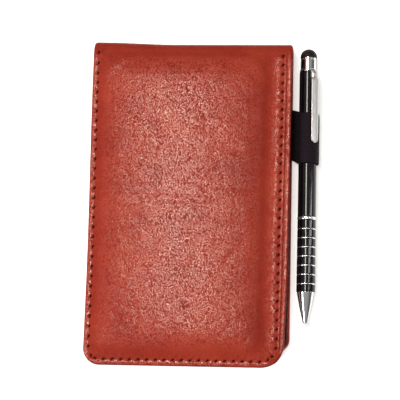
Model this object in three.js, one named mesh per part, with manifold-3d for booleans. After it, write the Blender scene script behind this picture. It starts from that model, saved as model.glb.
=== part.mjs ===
// A small top-bound notebook: a padded, stitched cover folded over its top edge, a ruled pad inside,
// and a short twist pen in an elastic loop on the right. Millimetres, +Z up. The notebook lies closed
// on its rear cover, with its fold towards +Y and the pen towards +X. The origin is the centre of the
// rear cover's underside.
import * as THREE from "three";
import { mergeVertices } from "three/addons/utils/BufferGeometryUtils.js";
import Module from "manifold-3d";

// ---------- driving dimensions ----------

const gap = 0.3; // between neighbours that are cut or turned
const past = 5; // a cutting tool runs this far past the face that it opens

// The cover seen flat: the front has round corners at its free end and the rear has corners cut off at
// 45 degrees. Both run straight to the fold.
const cover = { width: 77, cornerRadius: 7.5, cornerCut: 7.4, leather: 0.9 };
const rearEnd = -62.2; // free end of the rear cover
const frontEnd = -64.6; // the front cover reaches a little further when shut
const frontSkew = 1.0; // the shut front cover's free end lies this far to the left
const boardEnd = { rear: 58.4, front: 57.0 }; // boards and linings stop short of the fold
const skinEnd = { rear: 61.0, front: 59.2 }; // the leather runs on to the fold lines

// The spine folds about two lines along X.
const rearFold = { y: 61.6, z: 0.6 };
const frontFold = { y: 59.8, z: 11.8 };

// Levels of the stack from the table up.
const level = {
  rearBoard: 0.8,
  rearLining: 2.0,
  rearTop: 2.4,
  cardBack: 2.5,
  sleeve: 3.2,
  paper: 3.7,
  leaves: 7.5,
  frontUnder: 9.4,
  frontBoard: 9.8,
  padding: 11.0,
  frontRim: 12.4,
};

// Padding: the front swells from a flat stitched rim to a soft crown.
const crown = { height: 2.2, rimWidth: 5.5, slope: 12, looseness: 0.7 };

const stitch = { inset: 2.0, width: 0.6, height: 0.35, grooveDepth: 0.4 };
const seamShort = 2; // the seams end this far before the fold

const pad = { width: 68, end: -54, top: 54.6, cardBack: 0.6, block: 3.7 };
const leaf = { count: 3, thickness: 0.12, pitch: 0.2, root: 46.5 };
const tape = { thickness: 0.3, reach: 7 };
const sleeve = { thickness: 0.4, end: -58, mouth: 4, halfWidth: 36.4 };
const pocket = { halfWidth: 34.5, top: 55, cornerRadius: 3 };
const pocketPanels = [
  // name, end towards the free edge, underside, thickness: each shorter panel lies over the longer one
  { name: "large_pocket", mouth: -56, under: 8.97, thickness: 0.35 },
  { name: "card_slot_long", mouth: -32, under: 8.64, thickness: 0.3 },
  { name: "card_slot_short", mouth: -8, under: 8.31, thickness: 0.3 },
];

// The pen lies along Y; stations are measured down from the top of its rubber dome.
const pen = {
  x: 44.5,
  z: 4.75,
  top: 60.4,
  domeRadius: 3.1,
  domeEnd: 3.4,
  collarRadius: 3.15,
  collarEnd: 8.6,
  clipRingEnd: 9.2,
  barrelRadius: 3.35,
  barrelEnd: 66.3,
  barrelBore: 2.75,
  ringEnd: 67.5,
  ringRadius: 3.55,
  gripRadius: 3.65,
  gripTopRadius: 3.45,
  gripEnd: 95.7,
  gripBore: 2.75,
  noseRadius: 3.4,
  noseTipRadius: 1.3,
  noseChamfer: 106.0,
  noseEnd: 107.6,
  mouthRadius: 0.95,
};
const noseBore = { rear: 2.2, middle: 2.0, front: 1.4, middleAt: 99.5, frontAt: 102.5 };
const engraving = { first: 71.0, pitch: 3.54, count: 7, width: 0.7, depth: 0.12 };
const clip = {
  turn: 34, // degrees from straight up towards +X
  width: 3.2,
  seat: 3.6, // radii of the root's underside and of the arm's two faces
  inner: 4.85,
  outer: 5.4,
  root: 9.4,
  rootEnd: 12.4,
  end: 37.0,
};

const refill = { radius: 1.15, rear: 38.0, tipStart: 93.0, tipEnd: 106.0, ballRadius: 0.4 };
const twist = { outer: 2.6, bore: 1.35, from: 30, to: 70 };
const spring = { radius: 1.65, wire: 0.18, from: 90.5, to: 98.5, turns: 6 };

const loop = { inner: 3.8, outer: 4.6, top: 36.2, width: 20, neckStart: 35.2, neckLow: 2.4, neckHigh: 3.9 };

// ---------- materials ----------

const leather = { color: 0x9c3f2f, roughness: 0.45, metalness: 0 };
const liningCloth = { color: 0x5a2219, roughness: 0.8, metalness: 0 };
const board = { color: 0x8d8577, roughness: 0.95, metalness: 0 };
const foam = { color: 0xe6e0d0, roughness: 1, metalness: 0 };
const thread = { color: 0x7d2c20, roughness: 0.7, metalness: 0 };
const paper = { color: 0xf2efe4, roughness: 0.9, metalness: 0 };
const cardboard = { color: 0xb5a184, roughness: 0.9, metalness: 0 };
const elastic = { color: 0x17151a, roughness: 0.9, metalness: 0 };
const rubber = { color: 0x101012, roughness: 0.6, metalness: 0 };
const chrome = { color: 0xd8d8da, roughness: 0.12, metalness: 1 };
const satinSteel = { color: 0xc9c6bf, roughness: 0.3, metalness: 1 };
const lacquer = { color: 0x0c0c10, roughness: 0.15, metalness: 0.2 };
const plastic = { color: 0xe8e8e4, roughness: 0.5, metalness: 0 };
const brass = { color: 0xc2a14d, roughness: 0.3, metalness: 1 };

// ---------- solid building ----------

const wasm = await Module();
wasm.setup();

function toSolid(geometry) {
  const bare = geometry.index ? geometry.toNonIndexed() : geometry.clone();
  bare.deleteAttribute("normal");
  bare.deleteAttribute("uv");
  const merged = mergeVertices(bare, 1e-4);
  const solid = new wasm.Mesh({
    numProp: 3,
    vertProperties: merged.attributes.position.array,
    triVerts: new Uint32Array(merged.index.array),
  });
  return new wasm.Manifold(solid);
}

function fromSolid(solid) {
  const mesh = solid.getMesh();
  const geometry = new THREE.BufferGeometry();
  geometry.setAttribute("position", new THREE.BufferAttribute(mesh.vertProperties, 3));
  geometry.setIndex(new THREE.BufferAttribute(mesh.triVerts, 1));
  geometry.computeVertexNormals();
  return geometry;
}

function cut(geometry, ...tools) {
  return fromSolid(tools.reduce((solid, tool) => solid.subtract(toSolid(tool)), toSolid(geometry)));
}

function box(x, y, z) {
  const geometry = new THREE.BoxGeometry(x[1] - x[0], y[1] - y[0], z[1] - z[0]);
  return geometry.translate((x[0] + x[1]) / 2, (y[0] + y[1]) / 2, (z[0] + z[1]) / 2);
}

function plate(outline, low, high) {
  const geometry = new THREE.ExtrudeGeometry(outline, {
    depth: high - low,
    bevelEnabled: false,
    curveSegments: 6,
  });
  return geometry.translate(0, 0, low);
}

// A solid of revolution about Y from [radius, station] pairs, stations running down from the pen's top.
function turned(stations, segments = 24) {
  const profile = stations.map(([radius, station]) => new THREE.Vector2(radius, -station));
  return new THREE.LatheGeometry(profile, segments);
}

// A closed tube wall between two radii.
function turnedTube(inner, outer, from, to) {
  return turned([
    [inner, from],
    [inner, to],
    [outer, to],
    [outer, from],
    [inner, from],
  ]);
}

function mesh(name, geometry, look) {
  const made = new THREE.Mesh(geometry, new THREE.MeshStandardMaterial(look));
  made.name = name;
  return made;
}

function group(...children) {
  const made = new THREE.Group();
  made.add(...children);
  return made;
}

// ---------- outlines ----------

// A panel centred on x = 0, rounded at its low-y end, with smaller corners at its high-y end.
function panelOutline(halfWidth, low, high, lowRadius, highRadius = 0.5) {
  const shape = new THREE.Shape();
  shape.moveTo(-halfWidth + lowRadius, low);
  shape.lineTo(halfWidth - lowRadius, low);
  shape.absarc(halfWidth - lowRadius, low + lowRadius, lowRadius, -Math.PI / 2, 0);
  shape.lineTo(halfWidth, high - highRadius);
  shape.absarc(halfWidth - highRadius, high - highRadius, highRadius, 0, Math.PI / 2);
  shape.lineTo(-halfWidth + highRadius, high);
  shape.absarc(-halfWidth + highRadius, high - highRadius, highRadius, Math.PI / 2, Math.PI);
  shape.lineTo(-halfWidth, low + lowRadius);
  shape.absarc(-halfWidth + lowRadius, low + lowRadius, lowRadius, Math.PI, 1.5 * Math.PI);
  return shape;
}

// The front cover's outline moved inwards on its three sewn sides.
function frontOutline(high, inset = 0) {
  const radius = cover.cornerRadius - inset;
  return panelOutline(cover.width / 2 - inset, frontEnd + inset, high, Math.max(radius, 0.5), 0.4);
}

// The rear cover's outline moved inwards on its three sewn sides, its free corners cut at 45 degrees.
function rearOutline(high, inset = 0) {
  const half = cover.width / 2 - inset;
  const low = rearEnd + inset;
  const leg = cover.cornerCut - inset * (2 - Math.SQRT2);
  return new THREE.Shape([
    new THREE.Vector2(-half + leg, low),
    new THREE.Vector2(half - leg, low),
    new THREE.Vector2(half, low + leg),
    new THREE.Vector2(half, high),
    new THREE.Vector2(-half, high),
    new THREE.Vector2(-half, low + leg),
  ]);
}

// A slab over an outline whose top follows a height function, built from rings that shrink to a point.
function crownedSlab(outline, low, height) {
  const rings = [1, 0.93, 0.86, 0.79, 0.71, 0.62, 0.5, 0.3];
  const edge = outline.getPoints(5);
  if (edge[0].distanceTo(edge.at(-1)) < 1e-6) edge.pop();
  const middle = new THREE.Box2().setFromPoints(edge).getCenter(new THREE.Vector2());
  const positions = [];
  const faces = [];
  for (const scale of rings) {
    for (const point of edge) {
      const at = point.clone().sub(middle).multiplyScalar(scale).add(middle);
      positions.push(at.x, at.y, height(at.x, at.y));
    }
  }
  const count = edge.length;
  const apex = rings.length * count;
  positions.push(middle.x, middle.y, height(middle.x, middle.y));
  for (const point of edge) positions.push(point.x, point.y, low);
  const base = apex + 1;
  positions.push(middle.x, middle.y, low);
  const baseMiddle = base + count;
  for (let i = 0; i < count; i++) {
    const next = (i + 1) % count;
    for (let ring = 0; ring + 1 < rings.length; ring++) {
      const a = ring * count + i;
      const b = ring * count + next;
      faces.push(a, b, b + count, a, b + count, a + count);
    }
    const last = (rings.length - 1) * count;
    faces.push(last + i, last + next, apex);
    faces.push(base + i, base + next, next, base + i, next, i);
    faces.push(base + next, base + i, baseMiddle);
  }
  const geometry = new THREE.BufferGeometry();
  geometry.setAttribute("position", new THREE.Float32BufferAttribute(positions, 3));
  geometry.setIndex(faces);
  return geometry;
}

// ---------- rear cover ----------

function rearSkin() {
  const tray = plate(rearOutline(skinEnd.rear), 0, level.rearTop);
  const hollowOutline = rearOutline(skinEnd.rear + past, cover.leather);
  const hollow = plate(hollowOutline, level.rearBoard, level.rearTop + past);
  const groove = seamBand(rearOutline, skinEnd.rear - seamShort + gap, -past, stitch.grooveDepth, gap);
  return cut(tray, hollow, groove);
}

// A U-shaped band that runs in from the edge along the left side, the free end and the right side.
function seamBand(outline, high, low, top, margin = 0) {
  const outer = stitch.inset - stitch.width / 2 - margin;
  const inner = stitch.inset + stitch.width / 2 + margin;
  const whole = plate(outline(high, outer), low, top);
  return cut(whole, plate(outline(high + past, inner), low - past, top + past));
}

function padSleeve() {
  const outline = panelOutline(sleeve.halfWidth, sleeve.end, sleeve.mouth, 4);
  const panel = plate(outline, level.rearTop, level.sleeve + sleeve.thickness);
  const half = pad.width / 2 + gap;
  const room = box([-half, half], [pad.end - gap, sleeve.mouth + past], [0, level.sleeve]);
  return cut(panel, room);
}

// The elastic is sewn to the lining by its neck and goes once round the pen.
function penLoop() {
  const centre = { x: pen.x, y: pen.z };
  const angleAt = (height) => {
    const rise = height - centre.y;
    return Math.atan2(rise, -Math.sqrt(loop.outer ** 2 - rise ** 2));
  };
  const start = angleAt(loop.neckLow);
  const end = angleAt(loop.neckHigh);
  const outline = new THREE.Shape();
  outline.moveTo(loop.neckStart, loop.neckLow);
  outline.absarc(centre.x, centre.y, loop.outer, start, end);
  outline.lineTo(loop.neckStart, loop.neckHigh);
  const hole = new THREE.Path();
  hole.absarc(centre.x, centre.y, loop.inner, 0, 2 * Math.PI, true);
  outline.holes.push(hole);
  const band = new THREE.ExtrudeGeometry(outline, {
    depth: loop.width,
    bevelEnabled: false,
    curveSegments: 28,
  });
  return band.rotateX(Math.PI / 2).translate(0, loop.top, 0);
}

function bindingTape() {
  const half = pad.width / 2;
  const paperTop = level.paper + pad.block;
  const along = [pad.top - tape.reach, pad.top + tape.thickness];
  const whole = box([-half, half], along, [level.cardBack, paperTop + tape.thickness]);
  const inside = box([-half - past, half + past], [0, pad.top], [0, paperTop]);
  return cut(whole, inside);
}

const rearSeam = seamBand(rearOutline, skinEnd.rear - seamShort, gap / 6, stitch.grooveDepth);
const rearCover = group(
  mesh("rear_skin", rearSkin(), leather),
  mesh("rear_seam_thread", rearSeam, thread),
  mesh(
    "rear_board",
    plate(rearOutline(boardEnd.rear, cover.leather + gap), level.rearBoard, level.rearLining),
    board,
  ),
  mesh(
    "rear_lining",
    plate(rearOutline(boardEnd.rear, cover.leather + gap), level.rearLining, level.rearTop),
    liningCloth,
  ),
  mesh("pad_sleeve", padSleeve(), liningCloth),
  mesh("pen_loop", penLoop(), elastic),
  mesh(
    "pad_card_back",
    box([-pad.width / 2, pad.width / 2], [pad.end, pad.top], [level.cardBack, level.cardBack + pad.cardBack]),
    cardboard,
  ),
  mesh(
    "paper_block",
    box([-pad.width / 2, pad.width / 2], [pad.end, pad.top], [level.paper, level.paper + pad.block]),
    paper,
  ),
  mesh("pad_binding_tape", bindingTape(), liningCloth),
);

// Loose top sheets, which turn up about the crease at the binding tape's edge.
const looseSheets = new THREE.Group();
for (let i = 0; i < leaf.count; i++) {
  const under = level.leaves + i * leaf.pitch;
  const sheet = box([-pad.width / 2, pad.width / 2], [pad.end, leaf.root], [under, under + leaf.thickness]);
  looseSheets.add(mesh(`loose_sheet_${leaf.count - i}`, sheet, paper));
}

// ---------- spine ----------

// Built flat in its own frame, y along the strip from the rear fold and z inwards, then leaned over.
function spineStrip(sideInset, endInset, outerFace, innerFace) {
  const half = cover.width / 2 - sideInset;
  return box([-half, half], [endInset, spineLength - endInset], [outerFace, innerFace]);
}

const spineLength = Math.hypot(frontFold.y - rearFold.y, frontFold.z - rearFold.z);
const spineInset = cover.leather + gap;
const spine = group(
  mesh("spine_skin", spineStrip(0, 0.7, -0.6, 0.2), leather),
  mesh("spine_board", spineStrip(spineInset, 1.8, 0.5, 1.4), board),
  mesh("spine_lining", spineStrip(spineInset, 1.8, 1.7, 2.1), liningCloth),
);
spine.rotation.x = Math.atan2(frontFold.z - rearFold.z, frontFold.y - rearFold.y);
spine.position.set(0, rearFold.y, rearFold.z);

// ---------- front cover ----------

// Height of the leather's outer face over the closed notebook.
function frontSurface(x, y) {
  const toSide = cover.width / 2 - Math.abs(x);
  const toEnd = Math.min(y - frontEnd, skinEnd.front - y);
  const fromEdge = Math.min(toSide, toEnd);
  const t = THREE.MathUtils.smoothstep(fromEdge, crown.rimWidth, crown.rimWidth + crown.slope);
  return level.frontRim + crown.height * t;
}

function frontSkin() {
  const shell = crownedSlab(frontOutline(skinEnd.front), level.frontUnder, frontSurface);
  const hollowOutline = frontOutline(skinEnd.front + 1, cover.leather);
  const innerFace = (x, y) => frontSurface(x, y) - cover.leather;
  return cut(shell, crownedSlab(hollowOutline, level.frontUnder - past, innerFace));
}

function frontPadding() {
  const outline = frontOutline(skinEnd.front - 8, 8);
  const topFace = (x, y) => frontSurface(x, y) - cover.leather - crown.looseness;
  return crownedSlab(outline, level.padding, topFace);
}

// Shears a front-cover piece so that its free end lies a little to the left of the rear cover's.
function skewed(geometry) {
  const slope = frontSkew / (skinEnd.front - frontEnd);
  const shear = new THREE.Matrix4().makeShear(0, 0, slope, 0, 0, 0);
  return geometry.applyMatrix4(shear).translate(-slope * skinEnd.front, 0, 0);
}

function frontSheet(low, high) {
  return plate(frontOutline(boardEnd.front, cover.leather + gap), low, high);
}

const seamTop = level.frontRim + stitch.height;
const frontSeam = seamBand(frontOutline, skinEnd.front - seamShort, level.frontRim, seamTop);
const frontCover = group(
  mesh("front_skin", skewed(frontSkin()), leather),
  mesh("front_padding", skewed(frontPadding()), foam),
  mesh("front_board", skewed(frontSheet(level.frontBoard, level.padding)), board),
  mesh("front_lining", skewed(frontSheet(level.frontUnder, level.frontBoard)), liningCloth),
  mesh("front_seam_thread", skewed(frontSeam), thread),
);
for (const panel of pocketPanels) {
  const outline = panelOutline(pocket.halfWidth, panel.mouth, pocket.top, pocket.cornerRadius, 1);
  const sheet = plate(outline, panel.under, panel.under + panel.thickness);
  frontCover.add(mesh(panel.name, skewed(sheet), liningCloth));
}

// ---------- pen ----------

function stylusDome() {
  const dome = [];
  const steps = 6;
  for (let i = 0; i <= steps; i++) {
    const angle = (i / steps) * (Math.PI / 2);
    dome.push([pen.domeRadius * Math.cos(angle), pen.domeRadius * (1 - Math.sin(angle))]);
  }
  return turned([[0, pen.domeEnd], [pen.domeRadius, pen.domeEnd], ...dome.slice(0, -1), [0, 0]]);
}

// The grip section, with engraved rings cut square into its lacquer.
function gripStations() {
  const stations = [[pen.gripTopRadius, pen.ringEnd]];
  const slope = (pen.gripRadius - pen.gripTopRadius) / (pen.gripEnd - pen.ringEnd);
  const radiusAt = (station) => pen.gripTopRadius + slope * (station - pen.ringEnd);
  for (let i = 0; i < engraving.count; i++) {
    const from = engraving.first + i * engraving.pitch - engraving.width / 2;
    const to = from + engraving.width;
    stations.push([radiusAt(from), from], [radiusAt(from) - engraving.depth, from]);
    stations.push([radiusAt(to) - engraving.depth, to], [radiusAt(to), to]);
  }
  stations.push([pen.gripRadius, pen.gripEnd]);
  return stations;
}

function lowerBarrel() {
  const outside = gripStations().reverse();
  const bore = [
    [pen.gripBore, pen.ringEnd],
    [pen.gripBore, pen.gripEnd],
  ];
  return turned([...bore, ...outside, bore[0]]);
}

function noseCone() {
  return turned([
    [noseBore.rear, pen.gripEnd],
    [noseBore.middle, noseBore.middleAt],
    [noseBore.front, noseBore.frontAt],
    [pen.mouthRadius - 0.15, pen.noseEnd],
    [pen.mouthRadius, pen.noseEnd],
    [pen.noseTipRadius, pen.noseChamfer],
    [pen.noseRadius, pen.gripEnd],
    [noseBore.rear, pen.gripEnd],
  ]);
}

function refillTip() {
  return turned([
    [0, refill.tipEnd],
    [refill.ballRadius, refill.tipEnd - 0.3],
    [0.5, refill.tipEnd - 3.5],
    [refill.radius, refill.tipStart + 6],
    [refill.radius, refill.tipStart],
    [0, refill.tipStart],
  ]);
}

// A wire wound round the refill's tip, between the refill's shoulder and the nose cone.
function returnSpring() {
  class Helix extends THREE.Curve {
    getPoint(t, target = new THREE.Vector3()) {
      const angle = 2 * Math.PI * spring.turns * t;
      const station = spring.from + (spring.to - spring.from) * t;
      return target.set(spring.radius * Math.cos(angle), -station, spring.radius * Math.sin(angle));
    }
  }
  const section = new THREE.Shape().absarc(0, 0, spring.wire, 0, 2 * Math.PI);
  return new THREE.ExtrudeGeometry(section, {
    steps: spring.turns * 12,
    curveSegments: 3,
    bevelEnabled: false,
    extrudePath: new Helix(),
  });
}

// The clip's side profile, radius against station, extruded across its width.
function penClip() {
  const side = new THREE.Shape();
  side.moveTo(clip.seat, -clip.root);
  side.lineTo(clip.outer - 0.15, -clip.root);
  side.lineTo(clip.outer, -clip.root - 0.8);
  side.lineTo(clip.outer, -clip.end + 1.2);
  side.lineTo(clip.outer - 0.2, -clip.end);
  side.lineTo(clip.inner, -clip.end);
  side.lineTo(clip.inner - 0.08, -clip.end + 1.6);
  side.lineTo(clip.inner, -clip.end + 4);
  side.lineTo(clip.inner, -clip.rootEnd);
  side.lineTo(clip.seat, -clip.rootEnd);
  const arm = new THREE.ExtrudeGeometry(side, { depth: clip.width, bevelEnabled: false });
  return arm.translate(0, 0, -clip.width / 2).rotateY(THREE.MathUtils.degToRad(clip.turn - 90));
}

function stylusCollar() {
  return turned([
    [0, pen.domeEnd],
    [0, pen.collarEnd],
    [pen.collarRadius, pen.collarEnd],
    [pen.collarRadius, pen.domeEnd],
    [0, pen.domeEnd],
  ]);
}

function refillTube() {
  return turned([
    [0, refill.rear],
    [0, refill.tipStart],
    [refill.radius, refill.tipStart],
    [refill.radius, refill.rear],
    [0, refill.rear],
  ]);
}

const wholePen = group(
  mesh("pen_stylus_dome", stylusDome(), rubber),
  mesh("pen_stylus_collar", stylusCollar(), chrome),
  mesh("pen_clip_ring", turnedTube(1.5, pen.collarRadius + 0.25, pen.collarEnd, pen.clipRingEnd), chrome),
  mesh("pen_clip", penClip(), satinSteel),
  mesh(
    "pen_upper_barrel",
    turnedTube(pen.barrelBore, pen.barrelRadius, pen.clipRingEnd, pen.barrelEnd),
    lacquer,
  ),
  mesh("pen_centre_ring", turnedTube(pen.barrelBore, pen.ringRadius, pen.barrelEnd, pen.ringEnd), chrome),
  mesh("pen_twist_sleeve", turnedTube(twist.bore, twist.outer, twist.from, twist.to), brass),
  mesh("pen_lower_barrel", lowerBarrel(), lacquer),
  mesh("pen_nose_cone", noseCone(), chrome),
  mesh("pen_refill_tube", refillTube(), plastic),
  mesh("pen_refill_tip", refillTip(), brass),
  mesh("pen_return_spring", returnSpring(), satinSteel),
);
wholePen.position.set(pen.x, pen.top, pen.z);

// ---------- the whole notebook ----------

const notebook = group(rearCover, looseSheets, spine, frontCover, wholePen);

export default notebook;
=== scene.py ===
"""Looks for a small top-bound notebook: a padded leather cover, a ruled pad, and a pen in a loop.

Shapes are worked out in millimetres and turned into metres when a mesh is made. The notebook lies
shut on its rear cover, +Y towards the fold, +X towards the pen, +Z up.
"""

import math
from functools import partial

import bpy
import numpy as np
from mathutils import Matrix, Vector


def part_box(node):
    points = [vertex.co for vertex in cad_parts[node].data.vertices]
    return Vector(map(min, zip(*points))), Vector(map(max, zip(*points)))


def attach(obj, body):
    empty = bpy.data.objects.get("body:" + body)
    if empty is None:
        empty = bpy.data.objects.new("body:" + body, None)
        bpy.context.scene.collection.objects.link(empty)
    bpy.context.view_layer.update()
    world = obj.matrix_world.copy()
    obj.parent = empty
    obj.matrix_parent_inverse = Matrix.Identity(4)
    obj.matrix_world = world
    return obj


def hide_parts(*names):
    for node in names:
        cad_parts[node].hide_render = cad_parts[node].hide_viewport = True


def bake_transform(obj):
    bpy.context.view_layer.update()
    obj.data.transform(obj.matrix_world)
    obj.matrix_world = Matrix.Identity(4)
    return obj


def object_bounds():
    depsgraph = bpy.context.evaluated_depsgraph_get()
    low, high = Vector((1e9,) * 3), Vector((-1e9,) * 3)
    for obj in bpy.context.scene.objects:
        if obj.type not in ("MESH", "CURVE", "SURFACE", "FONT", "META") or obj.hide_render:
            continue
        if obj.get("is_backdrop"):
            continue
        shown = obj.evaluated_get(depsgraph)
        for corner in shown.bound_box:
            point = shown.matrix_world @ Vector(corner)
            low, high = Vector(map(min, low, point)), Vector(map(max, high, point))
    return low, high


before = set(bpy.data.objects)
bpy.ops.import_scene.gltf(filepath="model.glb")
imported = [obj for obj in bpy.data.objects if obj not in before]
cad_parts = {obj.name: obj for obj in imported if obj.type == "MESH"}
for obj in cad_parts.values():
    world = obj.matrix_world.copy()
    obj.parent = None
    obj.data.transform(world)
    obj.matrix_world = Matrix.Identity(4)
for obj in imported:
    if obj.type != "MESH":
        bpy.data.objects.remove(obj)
cad_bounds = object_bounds()

# ---------- driving dimensions, in millimetres ----------

MM = 0.001


def node_box(node):
    """A CAD node's lowest and highest corner in millimetres."""
    low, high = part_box(node)
    return np.array(low) / MM, np.array(high) / MM


REAR_LOW, REAR_HIGH = node_box("rear_skin")
FRONT_LOW, FRONT_HIGH = node_box("front_skin")
HALF = REAR_HIGH[0]
REAR_END = REAR_LOW[1]
REAR_TOP = REAR_HIGH[2]
FRONT_OVERHANG = 0.25
FRONT_END = FRONT_LOW[1] - FRONT_OVERHANG
FRONT_HINGE_Y = FRONT_HIGH[1]
FRONT_UNDER = FRONT_LOW[2]
FRONT_RIM = 12.4

# The shut front cover's free end lies this far to the left, and its right margin narrows.
FRONT_SKEW = 1.0
SKEW_SLOPE = FRONT_SKEW / (FRONT_HINGE_Y - FRONT_END)
MARGIN_LOSS = 0.7

LEATHER = 0.9
EDGE_ROLL = 1.15
TURN_IN, TURN_SINK = 3.0, 0.35
LEFT_CORNER, RIGHT_CORNER = 6.4, 9.6
REAR_CUT = 7.4
LINING_INSET = LEATHER + 0.3
# A 45 degree cut's leg gets this much shorter for each millimetre that its outline is inset.
CUT_LEG_LOSS = 0.586

# The spine's outer face, seen from the side, leans up from the rear fold to the front fold. The
# fold corners are where the covers' outer faces would meet it.
SPINE_UP = np.array([-0.1587, 0.9873])
SPINE_IN = np.array([-0.9873, -0.1587])
SPINE_DEPTH = 2.7
SPINE_MIDDLE = 5.6
FRONT_FOLD, REAR_FOLD = (60.31, FRONT_RIM), (62.30, 0.0)
FRONT_BEND, REAR_BEND = 4.6, 2.4
# A station inside each leather's bend, where the search for the spine's middle starts.
SEARCH_FROM = 62.0
# How finely the leathers are divided: across, along, and near their edges and bends.
FRONT_STEPS, REAR_STEPS = (0.5, 0.38, 0.22), (1.2, 1.0, 0.3)

# Handling has pushed the fold out, mostly at its left end, and rounded that corner.
FOLD_TOP = 62.3
FOLD_PUSH = 1.3
FOLD_CORNER = 2.2
LEFT_FLARE = 1.1

CROWN_HEIGHT = 2.6
CROWN_CENTRE, CROWN_ARCH = -3.0, 0.85
CROWN_END = 57.0
PAD_GAP_RIGHT = 5.6
PAD_MARGIN = 8.0
# The painted highlight band down the front's padded middle: its centre and its width, in
# millimetres.
PAINTED_HIGHLIGHT_CENTRE, PAINTED_HIGHLIGHT_REACH = -4.0, 21.0
PUFF_CAP = 0.8

SEAM_LEFT, SEAM_RIGHT, SEAM_END = 2.25, 3.6, 2.25
SEAM_TOP = 56.4
REAR_SEAM_INSET, REAR_SEAM_PITCH = 2.2, 3.6
LEFT_PITCH, END_PITCH, RIGHT_PITCH = 3.85, 3.25, 3.5
SEAM_SLANT = 0.62
STITCH_LENGTH, STITCH_WIDTH = 2.1, 0.88
THREAD_FLAT, THREAD_TUCK = 0.55, 0.3

# Each front stitch sits in a pit with a raised lip, and pulls puckers into the leather beside it.
PIT_DEPTH, PIT_LENGTH, PIT_WIDTH = 0.5, 0.75, 0.36
LIP_HEIGHT, LIP_AWAY, LIP_WIDTH = 0.16, 0.85, 0.38
PUCKERS, PUCKER_WIDTH, PUCKER_TILT = 2, 0.45, 0.9
PUCKER_LENGTHS, PUCKER_HEIGHTS = (2.0, 4.5), (0.06, 0.16)
MARK_REACH, MARKS_SEED = 7, 21

TRIM_LENGTH, TRIM_WIDTH, TRIM_PITCH, TRIM_DEPTH = 1.7, 0.34, 2.6, 0.08

# Raised and sunk lines beside the right-hand seam and the left edge, by distance from the seam
# or the edge.
HEM_INSIDE, RIM_OUTSIDE, VALLEY_OUTSIDE = 1.9, 0.95, 1.8
LEFT_RIM, END_RIM = 0.95, 1.2
RIM_HEIGHT = 0.22

POCKET_HALF, POCKET_TOP, POCKET_HEM = 34.5, 55.0, 1.6
BLOCK_SHEETS, BLOCK_SEED, BLOCK_MARGIN, SHEET_SHARE = 36, 17, 0.15, 0.86
SPREAD_ASIDE, SPREAD_ALONG, ALONG_CAP = 0.07, 0.06, 0.08
TAPE_THICK, TAPE_BEND = 0.3, 0.6

LOOP_THICK, LOOP_RADIUS, LOOP_RIBS = 0.75, 4.2, 24
# The pen has dragged the loop's free part this far down.
LOOP_SLIP = 1.9

PEN_AXIS = np.array([44.5, 4.75])
PEN_TOP = node_box("pen_stylus_dome")[1][1]
RING_DROP = 0.5
CLIP_TURN = math.radians(33)
CLIP_REACH = 1.2

# ---------- camera, light and floor settings, in metres and watts ----------

CAMERA_FROM = Vector((0.0551, -0.1060, 0.5933))
CAMERA_TO = Vector((0.00315, 0.0, 0.005))
CAMERA_ROLL = -25.09
CAMERA_LENS = 139.3
SENSOR = 36.0

WHITE, WARM = (1, 1, 1), (1.0, 0.94, 0.79)
LIGHTS = (
    ("overhead", {"place": (-0.08, 0.13, 0.75), "size": (0.09, 0.5), "power": 3.5, "colour": WARM}),
    ("left_fill", {"place": (-0.75, -0.45, 0.6), "size": (0.4, 0.6), "power": 8.6}),
    (
        "right_strip",
        {"place": (0.58, 0.1, 0.47), "target": (0.04, 0, 0), "size": (0.04, 0.5), "power": 0.6},
    ),
)
# The studio's greys by how far a direction leans towards its bright part.
BRIGHT_CEILING = (-0.3, 0.05, 0.95)
STUDIO_GREYS = [(0.0, 0.2), (0.12, 0.025), (0.35, 0.21), (0.9, 0.36)]
FLOOR_GLOW = 0.52
FLOOR_REACH, FLOOR_GAP = 3000, 1.2

# Noise is laid on a turned grid, so that nothing lines up with the cover's sides.
NOISE_TURN = math.radians(37)
NOISE_CELLS = 97
NOISE_SHIFT = (31.7, 47.3)
CREASE_WANDER, CREASE_WIDTH = 2.5, 0.07

# The leather's cloth simulation is ten times life size, where the solver is steadier, and has a
# little more cloth than room, so that it puckers.
CLOTH_STEP, CLOTH_SCALE, CLOTH_FRAMES = 2.4, 0.01, 20
CLOTH = {
    "quality": 6,
    "mass": 0.4,
    "vertex_group_mass": "pins",
    "use_pressure": True,
    "uniform_pressure_force": 4,
    "tension_stiffness": 25,
    "compression_stiffness": 25,
    "bending_stiffness": 0.4,
    "shrink_min": -0.035,
}
DOME_SHARE, WRINKLE_SHARE = 0.6, 0.3

# ---------- small numeric tools ----------


def smooth(value, low, high):
    t = np.clip((value - low) / (high - low), 0, 1)
    return t * t * (3 - 2 * t)


def unit(vectors):
    return vectors / np.maximum(np.linalg.norm(vectors, axis=-1, keepdims=True), 1e-9)


def ridge(value, middle, half_width):
    """A smooth ridge, 1 on its crest."""
    return np.exp(-(((value - middle) / half_width) ** 2))


def read_grid(grid, at_x, at_y):
    """A grid's values at places between its points; it repeats beyond its edges."""
    ix, iy = np.floor(at_x).astype(int), np.floor(at_y).astype(int)
    fx, fy = smooth(at_x - ix, 0, 1), smooth(at_y - iy, 0, 1)
    corner = lambda dx, dy: grid[(ix + dx) % grid.shape[0], (iy + dy) % grid.shape[1]]
    near = corner(0, 0) * (1 - fx) + corner(1, 0) * fx
    far = corner(0, 1) * (1 - fx) + corner(1, 1) * fx
    return near * (1 - fy) + far * fy


def value_noise(x, y, size, seed):
    """Smooth noise from -1 to 1 whose bumps are about that size in millimetres."""
    lattice = np.random.default_rng(seed).uniform(-1, 1, (NOISE_CELLS, NOISE_CELLS))
    cos, sin = math.cos(NOISE_TURN), math.sin(NOISE_TURN)
    at_x = (x * cos - y * sin) / size + NOISE_SHIFT[0]
    at_y = (x * sin + y * cos) / size + NOISE_SHIFT[1]
    return read_grid(lattice, at_x, at_y)


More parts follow.
